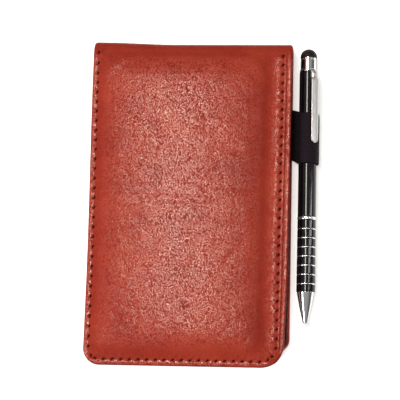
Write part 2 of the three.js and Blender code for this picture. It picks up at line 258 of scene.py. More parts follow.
def layered_noise(x, y, size, seed, layers=3):
    total = np.zeros_like(x)
    for layer in range(layers):
        total += value_noise(x, y, size / 2**layer, seed + layer) / 2**layer
    return total / (2 - 0.5 ** (layers - 1))


def creases(x, y, size, seed):
    """Narrow valleys that wander over the surface, 1 in a valley and 0 away from it."""
    bent_x = x + CREASE_WANDER * value_noise(x, y, size * 0.8, seed + 10)
    bent_y = y + CREASE_WANDER * value_noise(x, y, size * 0.8, seed + 11)
    return ridge(value_noise(bent_x, bent_y, size, seed), 0, CREASE_WIDTH)


def graded(low, high, coarse, fine, fine_spans):
    """Stations from low to high, a fine step inside the fine spans and a coarse one outside."""
    stations = [low]
    while stations[-1] < high:
        here = stations[-1]
        near = any(a <= here <= b for a, b in fine_spans)
        stations.append(here + (fine if near else coarse))
    stations = np.array(stations)
    return low + (stations - low) * (high - low) / (stations[-1] - low)


def spaced(points, pitch, glance=0.3):
    """Evenly spaced places along a path of corner points, with the path's direction at each."""
    points = np.array(points, float)
    steps = np.linalg.norm(np.diff(points, axis=0), axis=1)
    along = np.concatenate([[0], np.cumsum(steps)])
    at = np.linspace(0, along[-1], int(round(along[-1] / pitch)) + 1)
    place_at = lambda t: np.stack([np.interp(t, along, points[:, k]) for k in (0, 1)], 1)
    return place_at(at), unit(place_at(at + glance) - place_at(at - glance))


def arc(centre, radius, start, end, count=8):
    angles = np.radians(np.linspace(start, end, count))
    return [(centre[0] + radius * math.cos(a), centre[1] + radius * math.sin(a)) for a in angles]


# ---------- mesh tools ----------


def piece(name, points, faces, material, body=None, smooth_faces=True):
    """A mesh object from points in millimetres."""
    mesh = bpy.data.meshes.new(name)
    mesh.from_pydata((np.asarray(points, float) * MM).tolist(), [], faces)
    mesh.update()
    if smooth_faces:
        mesh.polygons.foreach_set("use_smooth", [True] * len(mesh.polygons))
    mesh.materials.append(material)
    made = bpy.data.objects.new(name, mesh)
    bpy.context.scene.collection.objects.link(made)
    if body:
        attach(made, body)
    return made


def band_faces(first, second, closed=False):
    """Quads between two rows of vertex numbers."""
    first, second = list(first), list(second)
    if closed:
        first.append(first[0])
        second.append(second[0])
    return [(first[i], first[i + 1], second[i + 1], second[i]) for i in range(len(first) - 1)]


def grid_faces(numbers):
    faces = []
    for row in range(len(numbers) - 1):
        faces += band_faces(numbers[row], numbers[row + 1])
    return faces


def swept_faces(rings, around, start=0, capped=True, inside_out=False):
    """The faces of a tube of that many rings of points, closed at both ends if capped."""
    numbers = start + np.arange(rings * around).reshape(rings, around)
    faces = []
    for first, second in zip(numbers, numbers[1:]):
        faces += band_faces(first, second, closed=True)
    if capped:
        faces += [tuple(numbers[0][::-1]), tuple(numbers[-1])]
    return [face[::-1] for face in faces] if inside_out else faces


def open_rim(grid):
    """A grid's entries down its first column, along its first row and up its last column."""
    return np.concatenate([grid[::-1, 0], grid[0, 1:-1], grid[:, -1]])


def full_rim(grid):
    return np.concatenate([open_rim(grid), grid[-1, -2:0:-1]])


def split_edges(made, angle):
    """Keeps the edges that turn by more than that many degrees crisp."""
    edges = made.modifiers.new("edges", "EDGE_SPLIT")
    edges.split_angle = math.radians(angle)


def pull_corners(x, y, half, low, legs, power):
    """Moves a rectangle's points so that its two low corners turn round (2) or cut off (1)."""
    x, y = x.copy(), y.copy()
    for side, leg in zip((-1, 1), legs):
        u = (side * x - (half - leg)) / leg
        v = (low + leg - y) / leg
        inside = (u > 0) & (v > 0)
        u_in, v_in = u[inside], v[inside]
        norm = (u_in**power + v_in**power) ** (1 / power)
        shrink = np.maximum(u_in, v_in) / norm
        x[inside] = side * (half - leg + leg * u_in * shrink)
        y[inside] = low + leg - leg * v_in * shrink
    return x, y


def wrapped_sheet(columns, rows, section, corners, power, depth, lift, facing):
    """A sheet with its two sides and free end rolled over and turned in.

    rows are stations along the section; section(station) gives (y, z) and the direction into the
    sheet; facing is 1 where the outer face looks up over the flat part and -1 where it looks down.
    """
    half, low = columns[-1], section(rows[0])[0][0]
    widened = lambda values: np.repeat(np.array(values)[:, None], len(columns), 1)
    line = [section(station) for station in rows]
    x = np.meshgrid(columns, rows)[0]
    y = widened([place[0] for place, _ in line])
    z = widened([place[1] for place, _ in line])
    into = widened([[0, *inward] for _, inward in line])
    x, y = pull_corners(x, y, half, low, corners, power)
    top = np.stack([x, y, z], 2)
    top -= into * lift(x, y)[..., None]
    bare = np.stack([x, y, z], 2)

    numbers = np.arange(top.shape[0] * top.shape[1]).reshape(top.shape[:2])
    faces = grid_faces(numbers)
    edge, edge_in = open_rim(bare), open_rim(into)
    tangent = unit(np.gradient(edge, axis=0))
    out = unit(np.cross(tangent, -edge_in)) * facing
    deep = open_rim(widened([depth(station) for station in rows]))[:, None]

    points = [top.reshape(-1, 3)]
    last = open_rim(numbers)
    rolls = [(math.radians(a), 0.0, 0.0) for a in np.linspace(15, 165, 11)]
    rolls += [(math.pi, 0.0, 0.15)]
    rolls += [(math.pi, share * TURN_IN, TURN_SINK) for share in (0.2, 0.6, 1.0)]
    rolls += [(math.pi, TURN_IN, TURN_SINK + LEATHER * 0.8)]
    for ring, (angle, inward, sink) in enumerate(rolls):
        side = out * (EDGE_ROLL * math.sin(angle) - inward)
        points.append(edge + side + edge_in * (deep * (1 - math.cos(angle)) / 2 - sink))
        number = numbers.size + ring * len(edge) + np.arange(len(edge))
        faces += band_faces(number, last)
        last = number
    if facing < 0:
        faces = [face[::-1] for face in faces]
    return np.concatenate(points), faces


def skewed(points):
    """The shut front cover's free end lies a little to the left."""
    points = np.array(points, float)
    points[:, 0] += SKEW_SLOPE * (np.minimum(points[:, 1], FRONT_HINGE_Y) - FRONT_HINGE_Y)
    return points


def slab(half, low, high, under, top, corners, power=2.0, step=1.5, edge=0.12, wave=0.0, seed=1):
    """A closed thin panel with rounded edges and a slightly uneven face.

    It spans x from -half to half, y from low to high and z from under to top.
    """
    inner = half - edge
    columns = np.linspace(-inner, inner, max(int(2 * inner / step), 2) + 1)
    rows = np.linspace(low + edge, high - edge, max(int((high - low) / step), 2) + 1)
    x, y = np.meshgrid(columns, rows)
    x, y = pull_corners(x, y, inner, low + edge, corners, power)
    near_edge = np.minimum(half - np.abs(x), np.minimum(y - low, high - y))
    ripple = wave * layered_noise(x, y, 14, seed) * smooth(near_edge, 0, 4)
    numbers = np.arange(x.size).reshape(x.shape)
    upper = np.stack([x, y, top + ripple], 2).reshape(-1, 3)
    lower = np.stack([x, y, under + ripple], 2).reshape(-1, 3)
    rim = full_rim(upper.reshape(*x.shape, 3))
    tangent = unit(np.roll(rim, -1, 0) - np.roll(rim, 1, 0))
    out = np.stack([tangent[:, 1], -tangent[:, 0], np.zeros(len(rim))], 1)
    points, faces, last = [upper, lower], grid_faces(numbers), full_rim(numbers)
    faces += [face[::-1] for face in grid_faces(numbers + x.size)]
    for k, angle in enumerate(np.linspace(30, 150, 5)):
        a = math.radians(angle)
        drop = (top - under) * (1 - math.cos(a)) / 2
        points.append(rim + out * edge * math.sin(a) - np.array([0, 0, drop]))
        number = 2 * x.size + k * len(rim) + np.arange(len(rim))
        faces += band_faces(number, last, closed=True)
        last = number
    faces += band_faces(full_rim(numbers + x.size), last, closed=True)
    return np.concatenate(points), faces


def held(profile, reach=0.12):
    """The same profile with a point near each end of its long straights, to keep them straight."""
    out = [profile[0]]
    for a, b in zip(profile, profile[1:]):
        length = math.dist(a, b)
        if length > 4 * reach:
            for share in (reach / length, 1 - reach / length):
                out.append((a[0] + (b[0] - a[0]) * share, a[1] + (b[1] - a[1]) * share))
        out.append(b)
    return out


def lathe(name, profile, material, body, segments=72):
    """A turned pen part from (radius, station) pairs, stations running down from the pen's top."""
    profile = held(profile)
    points = []
    for radius, station in profile:
        for angle in np.linspace(0, 2 * math.pi, segments, endpoint=False):
            x = PEN_AXIS[0] + max(radius, 1e-3) * math.cos(angle)
            z = PEN_AXIS[1] + max(radius, 1e-3) * math.sin(angle)
            points.append((x, PEN_TOP - station, z))
    faces = swept_faces(len(profile), segments, capped=False)
    made = piece(name, points, faces, material, body)
    split_edges(made, 38)
    return made


def rounded(profile, radius=0.15, steps=3):
    """A lathe profile with each corner turned into a small arc."""
    profile = [np.array(p, float) for p in profile]
    out = [profile[0]]
    for before, here, after in zip(profile, profile[1:], profile[2:]):
        a, b = before - here, after - here
        reach = min(radius, np.linalg.norm(a) * 0.45, np.linalg.norm(b) * 0.45)
        start = here + unit(a) * reach
        end = here + unit(b) * reach
        for t in np.linspace(0, 1, steps + 1):
            out.append((1 - t) ** 2 * start + 2 * t * (1 - t) * here + t**2 * end)
    out.append(profile[-1])
    return [tuple(p) for p in out]


# ---------- materials ----------


def set_stops(ramp, stops):
    """Fills a colour ramp node with (position, colour) pairs."""
    elements = ramp.color_ramp.elements
    while len(elements) < len(stops):
        elements.new(0.5)
    for element, (position, colour) in zip(elements, stops):
        element.position = position
        element.color = (*colour, 1)


class Look:
    """A node material under construction."""

    def __init__(self, name, **sockets):
        self.material = bpy.data.materials.new(name)
        self.material.use_nodes = True
        self.tree = self.material.node_tree
        self.shader = self.tree.nodes["Principled BSDF"]
        for socket, value in sockets.items():
            self.shader.inputs[socket.replace("_", " ")].default_value = value
        self.place = self.node("ShaderNodeTexCoord").outputs["Object"]

    def node(self, kind, links=None, values=None, **settings):
        made = self.tree.nodes.new(kind)
        for key, value in settings.items():
            setattr(made, key, value)
        for key, value in (values or {}).items():
            made.inputs[key].default_value = value
        for key, source in (links or {}).items():
            self.tree.links.new(source, made.inputs[key])
        return made

    def noise(self, size, detail=4.0, rough=0.55, distort=0.0, place=None):
        """Noise from 0 to 1 whose bumps are that many millimetres across."""
        values = {"Scale": 1 / (size * MM), "Detail": detail}
        values |= {"Roughness": rough, "Distortion": distort}
        links = {"Vector": place or self.place}
        return self.node("ShaderNodeTexNoise", links, values).outputs["Fac"]

    def cells(self, size, place=None):
        """Distance from the middle of cells that are about that many millimetres across."""
        values = {"Scale": 1 / (size * MM)}
        links = {"Vector": place or self.place}
        return self.node("ShaderNodeTexVoronoi", links, values).outputs["Distance"]

    def stretched(self, x, y, z):
        links, values = {"Vector": self.place}, {"Scale": (x, y, z)}
        return self.node("ShaderNodeMapping", links, values).outputs["Vector"]

    def wobbled(self, size, reach, place):
        """Coordinates pushed about by noise, by up to that many millimetres."""
        vector_math = partial(self.node, "ShaderNodeVectorMath")
        values = {"Scale": 1 / (size * MM), "Detail": 2.0}
        drift = self.node("ShaderNodeTexNoise", {"Vector": place}, values).outputs["Color"]
        centred = vector_math({0: drift}, {1: (-0.5, -0.5, -0.5)}, operation="ADD").outputs[0]
        scaled = {"Scale": 4 * reach * MM}
        push = vector_math({0: centred}, scaled, operation="SCALE").outputs[0]
        return vector_math({0: place, 1: push}, operation="ADD").outputs[0]

    def waves(self, size, axis, distort):
        """Straight ribs that many millimetres apart."""
        values = {"Scale": 2 * math.pi / (20 * size * MM), "Distortion": distort, "Detail": 2.0}
        links = {"Vector": self.place}
        made = self.node("ShaderNodeTexWave", links, values, bands_direction=axis)
        return made.outputs["Fac"]

    def ramp(self, source, stops):
        made = self.node("ShaderNodeValToRGB", {"Fac": source})
        set_stops(made, stops)
        return made.outputs["Color"]

    def spread(self, source, low, high, source_low=0.3, source_high=0.7):
        values = {"From Min": source_low, "From Max": source_high, "To Min": low, "To Max": high}
        return self.node("ShaderNodeMapRange", {"Value": source}, values).outputs["Result"]

    def math(self, operation, a, b):
        made = self.node("ShaderNodeMath", operation=operation)
        for key, value in ((0, a), (1, b)):
            if isinstance(value, (int, float)):
                made.inputs[key].default_value = value
            else:
                self.tree.links.new(value, made.inputs[key])
        return made.outputs[0]

    def mix(self, factor, a, b, kind="MIX"):
        made = self.node("ShaderNodeMix", data_type="RGBA", blend_type=kind)
        for key, value in ((0, factor), (6, a), (7, b)):
            if isinstance(value, (int, float)):
                made.inputs[key].default_value = value
            elif isinstance(value, tuple):
                made.inputs[key].default_value = (*value, 1)
            else:
                self.tree.links.new(value, made.inputs[key])
        return made.outputs[2]

    def bump(self, height, depth, strength=1.0, after=None):
        """Adds relief that many millimetres deep."""
        links = {"Height": height}
        if after is not None:
            links["Normal"] = after
        values = {"Strength": strength, "Distance": depth * MM}
        return self.node("ShaderNodeBump", links, values).outputs["Normal"]

    def set(self, socket, source):
        self.tree.links.new(source, self.shader.inputs[socket])

    def follow(self, pattern, stops, roughness, depth, strength):
        """Colour, roughness and relief that all follow one pattern."""
        self.set("Base Color", self.ramp(pattern, stops))
        self.set("Roughness", self.spread(pattern, *roughness))
        self.set("Normal", self.bump(pattern, depth, strength))
        return self.material


def leather_look(name, grain=1.0):
    """Waxed red-brown leather: pebbled grain with painted shade in its pits and painted highlight
    on its crests, fine pores and a mottled stain.

    The mesh's own polish value says where wear and a painted highlight make it lighter and
    shinier, up to 3, and below 0 where painted shade darkens its turned edge.
    """
    look = Look(name)
    worn = look.node("ShaderNodeAttribute", attribute_name="polish_and_painted_light").outputs["Fac"]
    mottle = look.noise(16, detail=5, rough=0.6)
    dark, base, light = (0.29, 0.031, 0.019), (0.345, 0.040, 0.0235), (0.40, 0.053, 0.027)
    stain = look.ramp(mottle, [(0.3, dark), (0.5, base), (0.75, light)])
    drifting = look.wobbled(12, 0.6, look.stretched(1.0, 0.85, 1.0))
    apart = look.cells(0.57, drifting)
    pebbles = look.math("SUBTRACT", 1.0, look.math("MULTIPLY", apart, apart))
    # Painted shade in the grain's pits and painted highlight on its crests.
    pit_shade, face, crest_highlight = (0.6, 0.45, 0.43), (1, 1, 1), (1.08, 1.12, 1.08)
    pebble_shade_and_highlight = look.ramp(pebbles, [(0.5, pit_shade), (0.75, face), (0.95, crest_highlight)])
    # The base colour is darker where the polish value is low and lifted where it is high; this is
    # partly wear and partly a painted highlight.
    tone_away_from_highlight = look.mix(1.0, stain, (0.78, 0.72, 0.73), "MULTIPLY")
    tone = look.mix(worn, tone_away_from_highlight, stain)
    # Painted shade: where the polish value drops below 0, on the turned edge's underside, the
    # colour goes nearly black.
    underside_shade = look.spread(worn, 1.0, 0.0, -1.0, 0.0)
    tone = look.mix(underside_shade, tone, (0.11, 0.008, 0.005))
    # The painted pebble shade and highlight are strongest where the polish value is high.
    pebble_shading_share = look.spread(worn, 0.2, 0.95, 0.3, 1.0)
    look.set("Base Color", look.mix(pebble_shading_share, tone, pebble_shade_and_highlight, "MULTIPLY"))
    glint = look.spread(look.noise(1.0, detail=2, rough=0.6), 0.6, 1.4)
    tops = look.math("MULTIPLY", look.spread(pebbles, 0.2, 1.7, 0.5, 0.95), glint)
    waxed = look.spread(worn, 0.02, 1.05, 0.0, 3.0)
    look.set("Specular IOR Level", look.math("MULTIPLY", tops, waxed))
    look.set("Roughness", look.spread(look.noise(2.5, detail=3), 0.22, 0.32))
    folds = look.noise(4.0, detail=2, rough=0.4, distort=0.3, place=drifting)
    pores = look.noise(0.4, detail=2)
    relief = look.bump(folds, 0.3 * grain, 0.5)
    relief = look.bump(pebbles, 0.075 * grain, 1.0, relief)
    relief = look.bump(pores, 0.04, 0.4, relief)
    look.set("Normal", relief)
    return look.material


def store_polish_and_painted_light(made, amount):
    """Stores how polished each of a leather piece's points is, with painted highlight and shade
    mixed in, for its material to read.
    """
    values = made.data.attributes.new("polish_and_painted_light", "FLOAT", "POINT")
    values.data.foreach_set("value", np.clip(amount, -1, 3).astype(np.float32))


def woven_look(name, dark, light, pitch=0.45):
    """Plain-woven cloth: two sets of crossing threads with some yarns lighter than others."""
    look = Look(name, Sheen_Weight=0.25, Sheen_Roughness=0.5, Specular_IOR_Level=0.25)
    warp = look.waves(pitch, "X", 0.4)
    weft = look.waves(pitch, "Y", 0.4)
    weave = look.math("MAXIMUM", warp, weft)
    yarn = look.noise(1.2, detail=3, place=look.stretched(1.0, 0.25, 1.0))
    tone = look.ramp(yarn, [(0.35, dark), (0.7, light)])
    look.set("Base Color", look.mix(look.spread(weave, 0.55, 0.0, 0.2, 0.9), tone, dark))
    look.set("Roughness", look.spread(yarn, 0.75, 0.92))
    relief = look.bump(weave, 0.08, 0.8)
    look.set("Normal", look.bump(look.noise(0.3, detail=2), 0.03, 0.4, relief))
    return look.material


def elastic_look():
    """Ribbed black elastic: cords along the band under fine cross threads."""
    look = Look("elastic_band", Sheen_Weight=0.05, Sheen_Roughness=0.4, Specular_IOR_Level=0.15)
    cords = look.waves(0.85, "Y", 0.3)
    threads = look.waves(0.4, "X", 0.5)
    fuzz = look.noise(0.5, detail=3)
    colour = look.ramp(fuzz, [(0.3, (0.006, 0.0025, 0.0055)), (0.7, (0.016, 0.007, 0.0145))])
    between_cords = look.spread(cords, 0.6, 0.0, 0.1, 0.7)
    look.set("Base Color", look.mix(between_cords, colour, (0.002, 0.001, 0.002)))
    look.set("Roughness", look.spread(fuzz, 0.62, 0.85))
    relief = look.bump(cords, 0.12, 0.9)
    look.set("Normal", look.bump(threads, 0.04, 0.6, relief))
    return look.material


def paper_look(name, ruled=False, rule_gap=7.0):
    """Uncoated paper, with faint blue rules for the writing sheets."""
    look = Look(name, Specular_IOR_Level=0.2)
    fibre = look.noise(0.6, detail=5, rough=0.7)
    tone = look.ramp(fibre, [(0.3, (0.7, 0.67, 0.58)), (0.7, (0.78, 0.75, 0.66))])
    if ruled:
        across = look.node("ShaderNodeSeparateXYZ", {"Vector": look.place}).outputs["Y"]
        cycle = look.math("PINGPONG", look.math("ADD", across, 1.0), rule_gap / 2 * MM)
        line = look.math("LESS_THAN", cycle, 0.13 * MM)
        worn = look.math("MULTIPLY", line, look.spread(fibre, 0.6, 0.9))
        tone = look.mix(worn, tone, (0.25, 0.33, 0.52))
    look.set("Base Color", tone)
    look.set("Roughness", look.spread(fibre, 0.82, 0.95))
    look.set("Normal", look.bump(fibre, 0.02, 0.5))
    return look.material


def card_look(name, dark, light):
    look = Look(name, Specular_IOR_Level=0.25)
    fibre = look.noise(1.4, detail=6, rough=0.75, place=look.stretched(0.5, 1.6, 1.0))
    return look.follow(fibre, [(0.35, dark), (0.65, light)], (0.8, 0.95), 0.05, 0.5)


def foam_look():
    look = Look("foam", Subsurface_Weight=0.1, Specular_IOR_Level=0.15)
    stops = [(0.1, (0.55, 0.5, 0.38)), (0.5, (0.78, 0.74, 0.62))]
    return look.follow(look.cells(0.7), stops, (0.9, 1.0), 0.2, 0.8)


def thread_look(name, dark, light):
    look = Look(name, Specular_IOR_Level=0.1)
    twist = look.waves(0.28, "DIAGONAL", 0.6)
    look.set("Base Color", look.ramp(twist, [(0.2, dark), (0.8, light)]))
    look.set("Roughness", look.spread(look.noise(0.4), 0.7, 0.9))
    look.set("Normal", look.bump(twist, 0.06, 0.8))
    return look.material


def metal_look(name, colour, roughness, brushed=0.0, edge=(1, 1, 1)):
    """Plated metal with faint handling marks, and brushing along the pen where asked.

    edge is how much of a glancing reflection the plating gives back.
    """
    look = Look(name, Metallic=1.0, Specular_Tint=(*edge, 1))
    marks = look.noise(1.1, detail=6, rough=0.7, place=look.stretched(1.0, 0.15, 1.0))
    tint = tuple(c * 0.93 for c in colour)
    look.set("Base Color", look.ramp(marks, [(0.4, tint), (0.65, colour)]))
    look.set("Roughness", look.spread(marks, roughness, roughness + 0.04))
    if brushed:
        lines = look.noise(0.18, detail=2, place=look.stretched(1.0, 0.03, 1.0))
        look.set("Normal", look.bump(lines, brushed, 0.5))
    else:
        look.set("Normal", look.bump(look.noise(2.5, detail=2), 0.01, 0.15))
    return look.material


def lacquer_look():
    """Deep black gloss lacquer with orange peel and hairline wear."""
    look = Look("black_lacquer", Specular_IOR_Level=0.42)
    wear = look.noise(0.9, detail=6, rough=0.75, place=look.stretched(1.0, 0.2, 1.0))
    stops = [(0.4, (0.003, 0.002, 0.003)), (0.75, (0.009, 0.006, 0.009))]
    look.set("Base Color", look.ramp(wear, stops))
    look.set("Roughness", look.spread(wear, 0.06, 0.16))
    look.set("Normal", look.bump(look.noise(0.9, detail=2), 0.02, 0.3))
    return look.material


def rubber_look():
    look = Look("stylus_rubber", Specular_IOR_Level=0.2)
    stops = [(0.35, (0.008, 0.005, 0.007)), (0.7, (0.018, 0.011, 0.017))]
    return look.follow(look.noise(0.7, detail=5), stops, (0.5, 0.68), 0.03, 0.4)


def plastic_look():
    look = Look("refill_plastic", Specular_IOR_Level=0.5, Subsurface_Weight=0.15)
    stops = [(0.3, (0.62, 0.62, 0.6)), (0.7, (0.78, 0.78, 0.76))]
    return look.follow(look.noise(2.0, detail=4), stops, (0.25, 0.4), 0.02, 0.3)


front_leather_look = leather_look("front_leather")
rear_leather_look = leather_look("rear_leather", grain=0.8)
lining_look = woven_look("lining_cloth", (0.05, 0.012, 0.008), (0.12, 0.03, 0.02))
tape_look = woven_look("binding_cloth", (0.06, 0.014, 0.01), (0.14, 0.035, 0.024), pitch=0.6)
band_look = elastic_look()
seam_look = thread_look("seam_thread", (0.006, 0.0006, 0.0005), (0.016, 0.0015, 0.001))
trim_look = thread_look("trim_thread", (0.10, 0.02, 0.014), (0.2, 0.05, 0.035))
board_look = card_look("binders_board", (0.2, 0.18, 0.15), (0.3, 0.28, 0.24))
card_back_look = card_look("card_back", (0.3, 0.22, 0.13), (0.42, 0.32, 0.2))
block_look = paper_look("block_paper")
sheet_look = paper_look("ruled_paper", ruled=True)
foam_material = foam_look()
chrome_look = metal_look("chrome", (0.86, 0.85, 0.86), 0.06, edge=(0.1, 0.09, 0.1))
satin_look = metal_look("satin_steel", (0.72, 0.69, 0.68), 0.36, 0.03, edge=(0.3, 0.27, 0.3))
ring_look = metal_look("ring_chrome", (0.9, 0.88, 0.89), 0.24, edge=(0.5, 0.48, 0.5))
brass_look = metal_look("brass", (0.72, 0.5, 0.2), 0.25, 0.02)
black_look = lacquer_look()
dome_look = rubber_look()
refill_look = plastic_look()


# ---------- camera, light and floor ----------


def add_camera():
    data = bpy.data.cameras.new("camera")
    data.lens = CAMERA_LENS
    data.sensor_width = SENSOR
    data.clip_start = 0.01
    data.clip_end = 20
    made = bpy.data.objects.new("camera", data)
    forward = (CAMERA_TO - CAMERA_FROM).normalized()
    aimed = forward.to_track_quat("-Z", "Y").to_matrix()
    turn = aimed @ Matrix.Rotation(math.radians(CAMERA_ROLL), 3, "Z")
    made.matrix_world = Matrix.Translation(CAMERA_FROM) @ turn.to_4x4()
    bpy.context.scene.collection.objects.link(made)
    bpy.context.scene.camera = made


def add_light(name, place, size, power, target=(0, 0, 0), colour=WHITE):
    data = bpy.data.lights.new(name, "AREA")
    data.color = colour
    data.shape = "RECTANGLE"
    data.size, data.size_y = size
    data.energy = power
    made = bpy.data.objects.new(name, data)
    made.location = Vector(place)
    made.rotation_euler = (Vector(target) - Vector(place)).to_track_quat("-Z", "Y").to_euler()
    bpy.context.scene.collection.objects.link(made)


def add_world():
    """A studio: a bright ceiling, brighter on the left, and dim walls."""
    world = bpy.data.worlds.new("studio")
    bpy.context.scene.world = world
    world.use_nodes = True
    tree = world.node_tree
    background = tree.nodes["Background"]
    place = tree.nodes.new("ShaderNodeTexCoord")
    lean = tree.nodes.new("ShaderNodeVectorMath")
    lean.operation = "DOT_PRODUCT"
    lean.inputs[1].default_value = BRIGHT_CEILING
    ramp = tree.nodes.new("ShaderNodeValToRGB")
    tree.links.new(place.outputs["Generated"], lean.inputs[0])
    tree.links.new(lean.outputs["Value"], ramp.inputs["Fac"])
    set_stops(ramp, [(position, (grey, grey, grey)) for position, grey in STUDIO_GREYS])
    tree.links.new(ramp.outputs["Color"], background.inputs["Color"])
    background.inputs["Strength"].default_value = 1.0


def add_floor():
    """A pale floor, low enough for the spine, which bulges under the rear cover as it opens."""
    look = Look("pale_floor", Roughness=0.9, Specular_IOR_Level=0.1, Emission_Strength=FLOOR_GLOW)
    look.shader.inputs["Emission Color"].default_value = (1, 1, 1, 1)
    stops = [(0.3, (0.93, 0.93, 0.93)), (0.7, (0.95, 0.95, 0.95))]
    look.set("Base Color", look.ramp(look.noise(120), stops))
    under = REAR_LOW[2] - FLOOR_GAP
    signs = ((-1, -1), (1, -1), (1, 1), (-1, 1))
    corners = [(FLOOR_REACH * across, FLOOR_REACH * along, under) for across, along in signs]
    piece("floor", corners, [(0, 1, 2, 3)], look.material)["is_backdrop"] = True


add_camera()
add_world()
add_floor()
for light_name, settings in LIGHTS:
    add_light(light_name, **settings)
bpy.context.scene.view_settings.view_transform = "Standard"


# ---------- seams ----------


def front_seam():
    """Places, headings and slants of the front cover's stitches, before its skew."""
    left, right = -HALF + SEAM_LEFT, HALF - SEAM_RIGHT
    low = FRONT_END + SEAM_END
    turn_left, turn_right = LEFT_CORNER - SEAM_LEFT, RIGHT_CORNER - SEAM_RIGHT
    down = [(left, SEAM_TOP), (left, low + turn_left)]
    down += arc((left + turn_left, low + turn_left), turn_left, 180, 225)
    across = arc((left + turn_left, low + turn_left), turn_left, 250, 270)
    across += arc((right - turn_right, low + turn_right), turn_right, 270, 300)
    up = arc((right - turn_right, low + turn_right), turn_right, 318, 360)
    up += [(right, SEAM_TOP - 0.8)]
    sides = ((down, LEFT_PITCH, -1), (across, END_PITCH, 1), (up, RIGHT_PITCH, -1))
    runs = []
    for path, pitch, lean in sides:
        place, heading = spaced(path, pitch)
        runs.append((place, heading, np.full(len(place), lean * SEAM_SLANT)))
    return [np.concatenate(parts) for parts in zip(*runs)]


def stitch_marks(x, y, places, headings, slants, rng):
    """Relief around each stitch: a pit, a raised rim, and puckers pulled in from it."""
    relief = np.zeros_like(x)
    for place, heading, slant in zip(places, headings, slants):
        near = (np.abs(x - place[0]) < MARK_REACH) & (np.abs(y - place[1]) < MARK_REACH)
        if not near.any():
            continue
        dx, dy = x[near] - place[0], y[near] - place[1]
        across = np.array([-heading[1], heading[0]])
        line = heading + across * slant
        line /= np.linalg.norm(line)
        along = dx * line[0] + dy * line[1]
        aside = -dx * line[1] + dy * line[0]
        reach = np.hypot(along / 1.5, aside)
        mark = -PIT_DEPTH * np.exp(-((along / PIT_LENGTH) ** 4) - (aside / PIT_WIDTH) ** 2)
        mark += LIP_HEIGHT * ridge(reach, LIP_AWAY, LIP_WIDTH)
        for _ in range(PUCKERS):
            tilt = rng.uniform(-PUCKER_TILT, PUCKER_TILT)
            ray = across * (1 if across @ place < 0 else -1) + heading * tilt
            ray /= np.linalg.norm(ray)
            out = dx * ray[0] + dy * ray[1]
            off = -dx * ray[1] + dy * ray[0]
            length = rng.uniform(*PUCKER_LENGTHS)
            height = rng.uniform(*PUCKER_HEIGHTS)
            fade = smooth(out, 0.3, 1.2) * (1 - smooth(out, length * 0.5, length))
            mark += height * fade * ridge(off, 0, PUCKER_WIDTH)
        relief[near] += mark
    return relief


def stitch_points(places, headings, slants, height, length=STITCH_LENGTH, width=STITCH_WIDTH):
    """Short plump threads lying across the seam line, each with its ends tucked down."""
    points, faces = [], []
    around, sections = 10, 9
    for place, heading, slant, level in zip(places, headings, slants, height):
        across = np.array([-heading[1], heading[0]])
        line = heading + across * slant
        line = np.array([*(line / np.linalg.norm(line)), 0])
        side = np.array([-line[1], line[0], 0])
        faces += swept_faces(sections, around, len(points), inside_out=True)
        for t in np.linspace(-1, 1, sections):
            thick = width / 2 * (1 - 0.55 * abs(t) ** 3)
            centre = np.array([*place, level]) + line * t * length / 2
            centre[2] -= THREAD_TUCK * t * t
            for a in np.linspace(0, 2 * math.pi, around, endpoint=False):
                rise = THREAD_FLAT * thick * math.sin(a)
                points.append(centre + side * math.cos(a) * thick + np.array([0, 0, rise]))
    return np.array(points), faces


# ---------- the padded front leather ----------


def simulated_rise(x, y):
    """Inflates a sheet of cloth held at its rim, and returns how far each point rises."""
    points = np.stack([x * CLOTH_SCALE, y * CLOTH_SCALE, 0 * x], 2).reshape(-1, 3)
    numbers = np.arange(x.size).reshape(x.shape)
    mesh = bpy.data.meshes.new("puff")
    mesh.from_pydata(points.tolist(), [], grid_faces(numbers))
    sheet = bpy.data.objects.new("puff", mesh)
    scene = bpy.context.scene
    scene.collection.objects.link(sheet)
    pins = sheet.vertex_groups.new(name="pins")
    pins.add(np.unique(full_rim(numbers)).tolist(), 1.0, "REPLACE")
    cloth = sheet.modifiers.new("cloth", "CLOTH")
    for name, value in CLOTH.items():
        setattr(cloth.settings, name, value)
    cloth.settings.effector_weights.gravity = 0
    cloth.collision_settings.use_self_collision = False
    for frame_number in range(1, CLOTH_FRAMES + 1):
        scene.frame_set(frame_number)
    shown = sheet.evaluated_get(bpy.context.evaluated_depsgraph_get()).to_mesh()
    moved = np.zeros(x.size * 3)
    shown.vertices.foreach_get("co", moved)
    bpy.data.objects.remove(sheet)
    scene.frame_set(1)
    return moved.reshape(*x.shape, 3)[..., 2] / CLOTH_SCALE


def puffed(x_span, y_span):
    """How far the leather rises where it is pulled down at its seams over the foam.

    Returns a function of x and y in millimetres.
    """
    columns = np.linspace(*x_span, int(np.ptp(x_span) / CLOTH_STEP) + 1)
    rows = np.linspace(*y_span, int(np.ptp(y_span) / CLOTH_STEP) + 1)
    x, y = np.meshgrid(columns, rows)
    rise = simulated_rise(x, y)
    broad = rise.copy()
    for _ in range(12):
        wide = np.pad(broad, 1, mode="edge")
        broad = (wide[:-2, 1:-1] + wide[2:, 1:-1] + wide[1:-1, :-2] + wide[1:-1, 2:]) / 4
    dome = broad / max(np.abs(broad).max(), 1e-6) * DOME_SHARE
    wrinkle = rise - broad
    wrinkle *= WRINKLE_SHARE / max(np.abs(wrinkle).max(), 1e-6)
    rise = np.clip(dome + wrinkle, -PUFF_CAP, PUFF_CAP)

    def lift(at_x, at_y):
        gx = (at_x - x_span[0]) / np.ptp(x_span) * (len(columns) - 1)
        gy = (at_y - y_span[0]) / np.ptp(y_span) * (len(rows) - 1)
        gx, gy = np.clip(gx, 0, len(columns) - 1.001), np.clip(gy, 0, len(rows) - 1.001)
        return read_grid(rise.T, gx, gy)

    return lift


seam_places, seam_headings, seam_slants = front_seam()
puff = puffed((-HALF + SEAM_LEFT, HALF - SEAM_RIGHT - 4), (FRONT_END + SEAM_END, CROWN_END))


